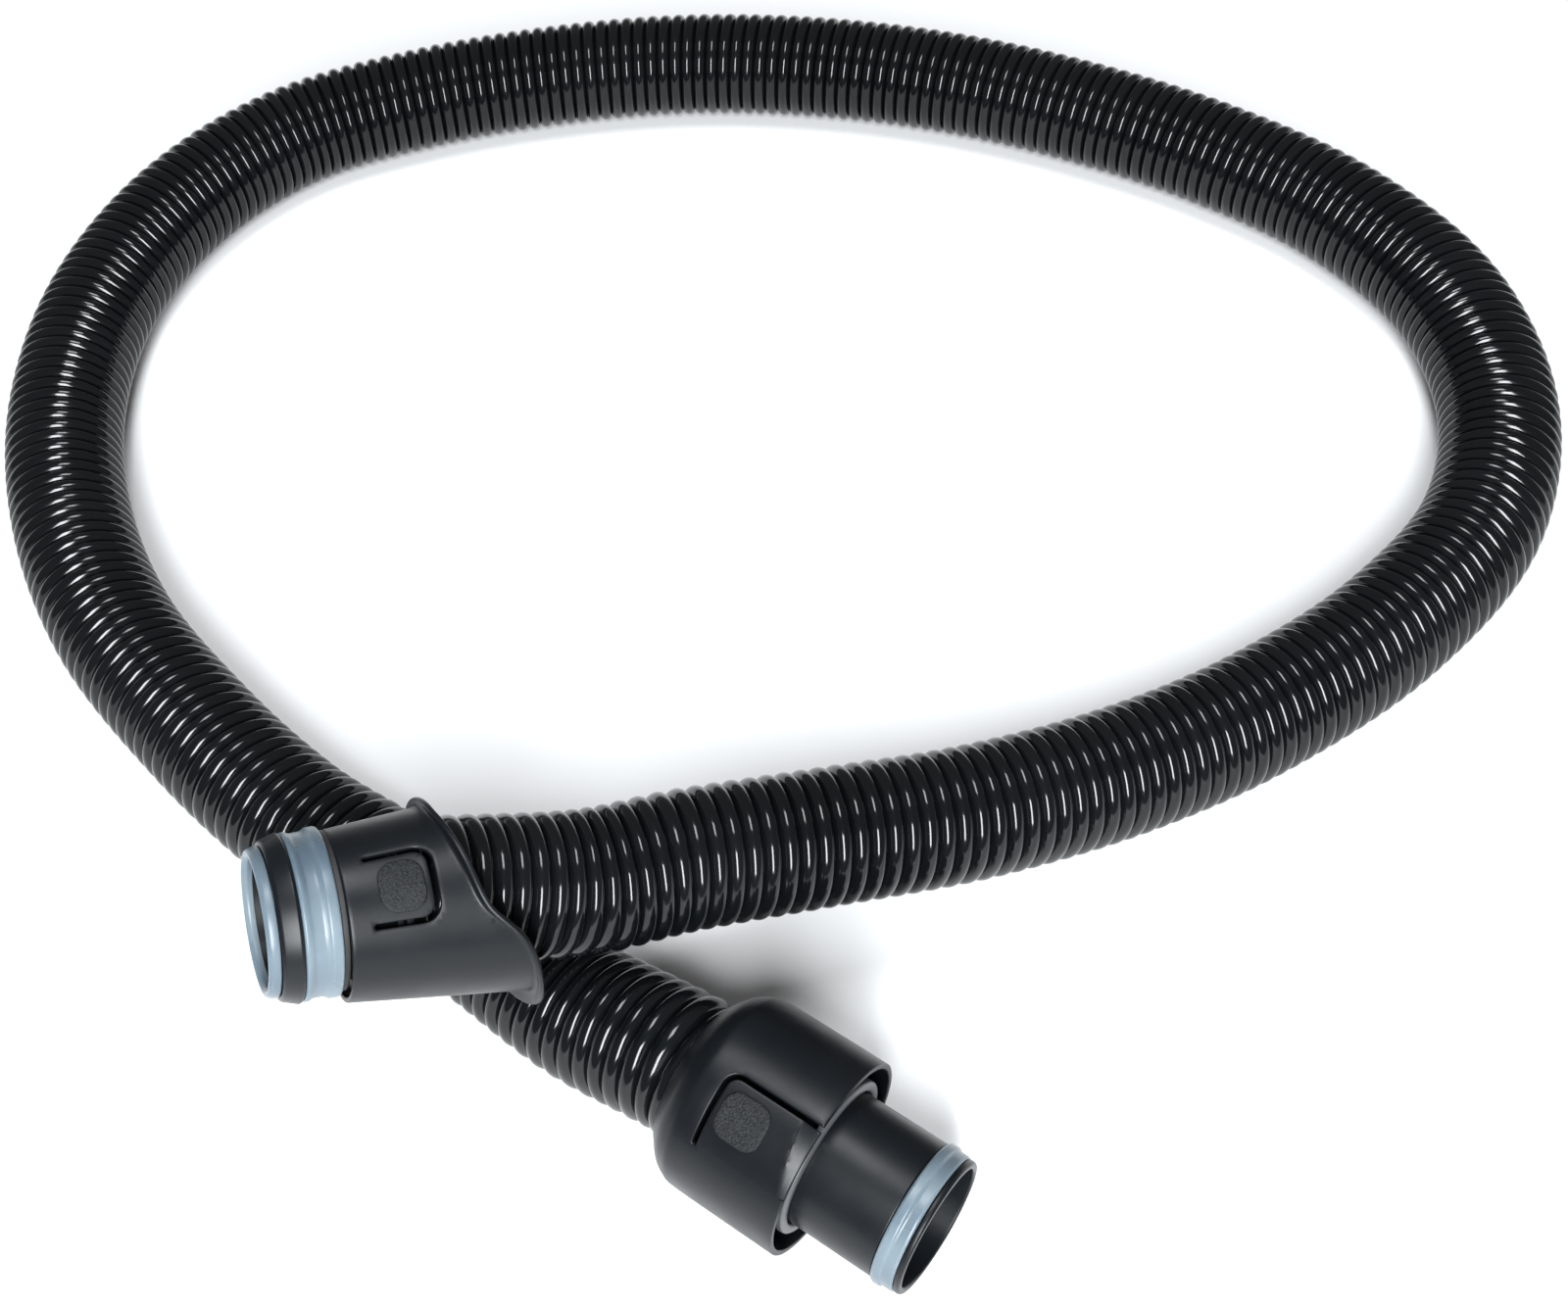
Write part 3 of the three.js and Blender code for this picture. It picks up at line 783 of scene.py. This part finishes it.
# The rear edge: how far round from the tail, and its s there.
REAR_EDGE = [
    (0, -71.8), (14, -71.2), (34, -69.2), (50, -66.2), (59, -62.8), (67, -58), (76, -55.4), (90, -53.6),
    (105, -51.8), (121, -50), (137, -48.3), (160, -47.6), (180, -47.5),
]
REAR_BLUR = 5                     # degrees over which the edge's corners are averaged out
PROBE_TURN, PROBE_STEP = 0.5, 0.05  # how far from a point its neighbours are, to find the normal
INLET_LATCH = {
    "centres": {"left": 25, "right": 205}, "half": 20.6, "root": -27.3, "free": -42.4, "corner": 3.6,
    "slot": 1.5, "bevel": 0.35, "grid": (1.2, 1.3), "bend_reach": 4, "middle": 0.7,
}
INLET_TURNINGS = {
    "inlet_spigot": ([
        (SPIGOT_REAR["inlet"], 19), (SPIGOT_REAR["inlet"], 17), (-24.1, 17), (-24.1, 17.9),
        (-1.6, 17.9), (-1.6, 19),
    ], "shell_grey", 0.3),
    "inlet_front_seal": ([
        (-2.8, 17.85), (-2.8, 17.4), (-1.2, 17.4), (-0.1, 18.2), (0, 19.2), (-0.9, 19.95), (-2, 20.15),
        (-3.2, 20.2), (-3.2, 19.1), (-1.3, 19.1), (-1.3, 17.85),
    ], "seal_milky", 0.4),
    "inlet_clamp_ring": ([
        (-8.9, 22.5), (-8.9, 19.3), (-3.4, 19.3), (-3.4, 20.9), (-4, 21.5), (-8.2, 22.9),
    ], "shell_grey", 0.6),
    "inlet_rear_seal": ([
        (-18.8, 22.6), (-18.8, 19.3), (-9.1, 19.3), (-9.1, 22.3), (-9.7, 22.7), (-10.7, 22.6),
        (-11.6, 22.1), (-14.4, 22.1), (-15.4, 22.5), (-16, 22.9), (-18.3, 23),
    ], "seal_milky", 0.45),
    "inlet_seal_washer": (box_profile(-20.5, -18.9, 19.3, 21.6), "rubber_dark", PLAIN_FILLET),
}


def rear_edge_at(turn):
    """The s of the rear edge, by straight lines between the points given for it."""
    for (a, s), (b, t) in zip(REAR_EDGE, REAR_EDGE[1:]):
        if turn <= b:
            return s + (t - s) * (turn - a) / (b - a)
    return REAR_EDGE[-1][1]


def from_tail(phi):
    """How far round from the tail an angle is, 0 to 180 degrees."""
    return abs((phi - SHELL["tail"] + 180) % 360 - 180)


def shell_rear(phi):
    """The s of the rear edge, averaged a little to take the corners off it."""
    taps = [abs(from_tail(phi) + REAR_BLUR * k / 2) for k in (-2, -1, 0, 1, 2)]
    return sum(rear_edge_at(min(tap, 360 - tap)) for tap in taps) / len(taps)


def shell_radius(phi, s):
    back = SHELL["front"] - s
    lean = SHELL["lean"] + SHELL["lean_taper"] * back
    toward_tail = math.cos(math.radians(phi - SHELL["tail"]))
    return SHELL["radius"] + SHELL["taper"] * back + lean * toward_tail


def lip_height(phi):
    """How far the lip stands out. It is highest at the tail."""
    tail = max(0, min(1, (SHELL["tail_half"] - from_tail(phi)) / SHELL["tail_ease"]))
    return SHELL["lip"] + SHELL["lip_tail"] * tail * tail * (3 - 2 * tail)


def lip_start(phi):
    """Where the wall starts to turn outward into its rear lip."""
    return -shell_rear(phi) - SHELL["lip_bend"] - SHELL["wall"]


def lip_length(phi):
    """How far the lip goes, along its own face."""
    radius, turn = SHELL["lip_bend"], math.radians(SHELL["lip_turn"])
    return radius * turn + (lip_height(phi) - radius * (1 - math.cos(turn))) / math.sin(turn)


def shell_face(phi, y):
    """A point of the shell's outer face, y back along it. The last stretch turns out as a lip."""
    start = lip_start(phi)
    if y <= start:
        return on_axis(-y, shell_radius(phi, -y), phi)
    radius = SHELL["lip_bend"]
    turn = min((y - start) / radius, math.radians(SHELL["lip_turn"]))
    rest = y - start - radius * turn
    s = -start - radius * math.sin(turn) - rest * math.cos(turn)
    r = shell_radius(phi, -start) + radius * (1 - math.cos(turn)) + rest * math.sin(turn)
    return on_axis(s, r, phi)


def bend_shell(x, y, depth):
    """x is a distance round the shell and y the distance back along its face."""
    phi = math.degrees(x / SHELL["flat"])
    place = shell_face(phi, y)
    round_way = shell_face(phi + PROBE_TURN, y) - shell_face(phi - PROBE_TURN, y)
    along_way = shell_face(phi, y + PROBE_STEP) - shell_face(phi, y - PROBE_STEP)
    out = round_way.cross(along_way).normalized()
    return INLET @ (place - out * depth)


def round_shell(phi):
    """The distance round the shell that belongs to an angle."""
    return math.radians(phi) * SHELL["flat"]


def inlet_latch_outline(centre, grow):
    """A tongue's outline, or that of its window, from one end of its hinge to the other."""
    half = round_shell(INLET_LATCH["half"]) + grow
    x = round_shell(centre)
    y0, y1 = -INLET_LATCH["root"], -INLET_LATCH["free"] + grow
    radius = INLET_LATCH["corner"] + grow
    return (
        [(x + half, y0)] + corner_arc((x + half - radius, y1 - radius), radius, 0, 90)
        + corner_arc((x - half + radius, y1 - radius), radius, 90, 180) + [(x - half, y0)]
    )


def inlet_window(centre):
    """The tongue's outline grown by its slot, whose two ends are round."""
    half, x = round_shell(INLET_LATCH["half"]), round_shell(centre)
    slot, hinge = INLET_LATCH["slot"] / 2, -INLET_LATCH["root"]
    left = corner_arc((x - half - slot, hinge), slot, 180, 360)
    right = corner_arc((x + half + slot, hinge), slot, 180, 360)
    return left + right + inlet_latch_outline(centre, 2 * slot)[1:-1]


def shell_web(phi):
    """The section of the web that ties the shell to its spigot."""
    back, front, inner = SHELL["web"]
    return box_profile(back, front, inner, shell_radius(phi, back) - SHELL["web_in_wall"] * SHELL["wall"])


def add_inlet_shell():
    """The shell, a plate with two windows that joins itself at a seam, and its web."""
    x0, x1 = round_shell(SHELL["seam"]), round_shell(SHELL["seam"] + 360)
    y0, hinge = -SHELL["front"], -INLET_LATCH["root"]
    edge = [(x, math.degrees(x / SHELL["flat"])) for x in spread(x1, x0, SHELL["edge_step"])]
    rear = [(x, lip_start(phi) + lip_length(phi)) for x, phi in edge]
    windows = [inlet_window(centre)[::-1] for centre in INLET_LATCH["centres"].values()]
    folds = [[(x, lip_start(phi) + step) for x, phi in edge[1:-1]] for step in SHELL["lip_folds"]]

    def is_plain(a, b):
        if all(min(abs(p.x - x0), abs(p.x - x1)) < NEAR for p in (a, b)):
            return "open"
        return both_at(a, b, 1, hinge)

    across, along = SHELL["grid"]
    points, faces = plate_mesh(
        [[(x0, y0), (x1, y0)] + rear] + windows, bend_shell, SHELL["wall"], spread(x0, x1, across),
        spread(y0, SHELL["grid_to"], along), SHELL["bevel"], is_plain, folds,
    )
    web = turned_mesh(INLET, shell_web, SHELL["web_fillet"], len(points))
    shell = add_piece(
        "inlet_shell_look", points + web[0], faces + web[1], "shell_grey", ["inlet_shell"],
    )
    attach(shell, "inlet_fitting")


def add_inlet_latch(side, centre):
    """A tongue, whose root runs on into the shell, shaped onto the shell's face, and its pad."""
    name = f"inlet_latch_{side}"
    hinge = -INLET_LATCH["root"]
    half = round_shell(INLET_LATCH["half"])
    x = round_shell(centre)

    def is_plain(a, b):
        return both_at(a, b, 1, hinge)

    across, along = INLET_LATCH["grid"]
    points, faces = plate_mesh(
        [inlet_latch_outline(centre, 0)], bend_shell, SHELL["wall"], spread(x - half, x + half, across),
        spread(hinge, -INLET_LATCH["free"], along), INLET_LATCH["bevel"], is_plain,
    )
    latch = add_piece(name + "_look", points, faces, "shell_grey", [name])
    start = bend_shell(x, hinge, INLET_LATCH["middle"]) * MM
    end = bend_shell(x, hinge + INLET_LATCH["bend_reach"], INLET_LATCH["middle"]) * MM
    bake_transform(latch)
    pad, node = {**INLET_PAD, "phi": centre}, f"inlet_latch_pad_{side}"
    add_pad(node + "_look", node, bend_shell, pad, SHELL["flat"], name)


# ---- Stage ------------------------------------------------------------------------------
# Lengths are in metres here, and power in watts.
LIGHTS = [
    {"at": (0.05, 0.25, 1.05), "toward": (0.05, 0.25, 0), "width": 0.3, "height": 0.4, "power": 7},
    {"at": (0, -1.02, 0.98), "toward": (0.05, 0.2, 0), "width": 0.4, "height": 1, "power": 52},
]
LIGHT_COLOUR = (0.95, 0.98, 1)
WORLD_STRENGTH = 0.2
FLOOR = {"half": 6, "colour": (0.82, 0.82, 0.82), "roughness": (0.65, 0.75)}


def floor_material():
    low, high = FLOOR["roughness"]
    material, tree, shader = new_material("floor_white", FLOOR["colour"], (low + high) / 2)
    vary_roughness(tree, shader, noise(tree, 3), low, high)
    return material


def add_floor():
    half = FLOOR["half"]
    corners = [(-half, -half, 0), (half, -half, 0), (half, half, 0), (-half, half, 0)]
    mesh = bpy.data.meshes.new("floor")
    mesh.from_pydata(corners, [], [(0, 1, 2, 3)])
    mesh.materials.append(floor_material())
    floor = bpy.data.objects.new("floor", mesh)
    bpy.context.collection.objects.link(floor)


def add_light(name, light):
    data = bpy.data.lights.new(name, "AREA")
    data.shape = "RECTANGLE"
    data.size = light["width"]
    data.size_y = light["height"]
    data.energy = light["power"]
    data.color = LIGHT_COLOUR
    lamp = bpy.data.objects.new(name, data)
    way = Vector(light["toward"]) - Vector(light["at"])
    lamp.location = light["at"]
    lamp.rotation_euler = way.to_track_quat("-Z", "Y").to_euler()
    bpy.context.collection.objects.link(lamp)


def add_world():
    world = bpy.data.worlds.new("studio")
    world.use_nodes = True
    background = world.node_tree.nodes["Background"]
    background.inputs["Color"].default_value = (1, 1, 1, 1)
    background.inputs["Strength"].default_value = WORLD_STRENGTH
    bpy.context.scene.world = world
    bpy.context.scene.view_settings.view_transform = "Standard"


add_camera()
add_hose()
add_swivel("wand", WAND, SPIGOT_REAR["wand"])
add_swivel("inlet", INLET, SPIGOT_REAR["inlet"])
add_turnings(WAND, WAND_TURNINGS, "wand_fitting")
add_wand_collar()
add_wand_latch()
add_pad("wand_latch_pad_look", "wand_latch_pad", bend_collar, WAND_PAD, COLLAR["radius"], "wand_latch")
add_turnings(INLET, INLET_TURNINGS, "inlet_fitting")
add_inlet_shell()
for side, centre in INLET_LATCH["centres"].items():
    add_inlet_latch(side, centre)
add_floor()
for i, light in enumerate(LIGHTS):
    add_light(f"softbox_{i}", light)
add_world()
